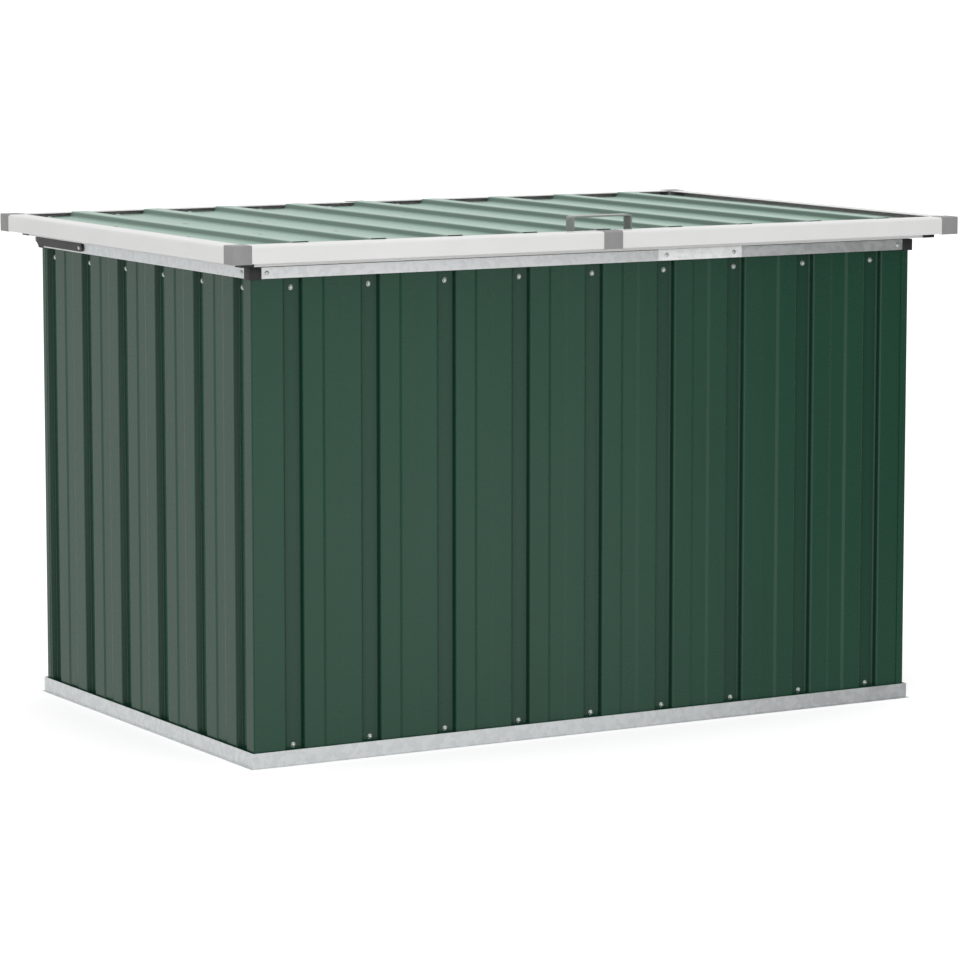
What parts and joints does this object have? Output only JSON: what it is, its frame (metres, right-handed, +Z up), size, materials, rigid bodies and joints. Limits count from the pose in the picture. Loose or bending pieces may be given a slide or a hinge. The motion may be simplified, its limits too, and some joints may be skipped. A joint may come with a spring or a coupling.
{
  "type": "garden storage box",
  "caption": "Sheet-steel garden storage box with grooved walls, galvanised rails and a framed, ribbed lid that lifts on rear hinges by a strap handle.",
  "frame": {"origin": "on the floor, under the middle of the closed lid", "axes": "+X along the front, +Y from the front to the hinges at the rear, +Z up"},
  "size_m": [1.49, 0.965, 0.9268],
  "materials": {
    "green_sheet": "semi-gloss green coating on ribbed sheet",
    "galvanised_rail": "hot-dip galvanised, faint spangle",
    "lid_rail": "satin pale grey coating",
    "grey_plastic": "moulded plastic, matt",
    "black_plastic": "moulded plastic, matt",
    "black_hinge": "black powder coat",
    "zinc_fasteners": "zinc plated",
    "handle": "grey coating"
  },
  "bodies": {
    "box": {"base_rail_front": "galvanised_rail", "base_rail_left": "galvanised_rail", "base_rail_rear": "galvanised_rail", "base_rail_right": "galvanised_rail", "connector_screws": "zinc_fasteners", "corner_strip_front_left": "green_sheet", "corner_strip_front_right": "green_sheet", "corner_strip_rear_left": "green_sheet", "corner_strip_rear_right": "green_sheet", "front_wall_long_sheet": "green_sheet", "front_wall_short_sheet": "green_sheet", "hinge_bracket_left": "black_hinge", "hinge_bracket_right": "black_hinge", "hinge_bracket_screws": "zinc_fasteners", "hinge_pins": "zinc_fasteners", "left_wall_sheet": "green_sheet", "rear_wall_long_sheet": "green_sheet", "rear_wall_short_sheet": "green_sheet", "right_wall_sheet": "green_sheet", "splice_plate_front": "galvanised_rail", "splice_plate_rear": "galvanised_rail", "splice_screws": "zinc_fasteners", "top_connector_front_left": "black_plastic", "top_connector_front_right": "black_plastic", "top_connector_rear_left": "black_plastic", "top_connector_rear_right": "black_plastic", "top_rail_front_long": "galvanised_rail", "top_rail_front_short": "galvanised_rail", "top_rail_left": "galvanised_rail", "top_rail_rear_long": "galvanised_rail", "top_rail_rear_short": "galvanised_rail", "top_rail_right": "galvanised_rail", "wall_bolts": "zinc_fasteners", "wall_nuts": "zinc_fasteners"},
    "lid": {"handle": "handle", "handle_screws": "zinc_fasteners", "hinge_leaf_left": "black_hinge", "hinge_leaf_right": "black_hinge", "hinge_leaf_screws": "zinc_fasteners", "lid_cap_front_left": "grey_plastic", "lid_cap_front_right": "grey_plastic", "lid_cap_rear_left": "grey_plastic", "lid_cap_rear_right": "grey_plastic", "lid_corner_brackets": "black_plastic", "lid_cross_bar_front": "galvanised_rail", "lid_cross_bar_rear": "galvanised_rail", "lid_long_sheet": "green_sheet", "lid_rail_clip_front": "grey_plastic", "lid_rail_clip_rear": "grey_plastic", "lid_rail_front_left": "lid_rail", "lid_rail_front_right": "lid_rail", "lid_rail_left": "lid_rail", "lid_rail_rear_left": "lid_rail", "lid_rail_rear_right": "lid_rail", "lid_rail_right": "lid_rail", "lid_screws": "green_sheet", "lid_short_sheet": "green_sheet"}
  },
  "joints": [
    {"name": "lid_hinge", "type": "hinge", "parent": "box", "child": "lid", "pos_m": [0, 0.4548, 0.853], "axis": [-1, 0, 0], "range_deg": [0, 95]}
  ]
}
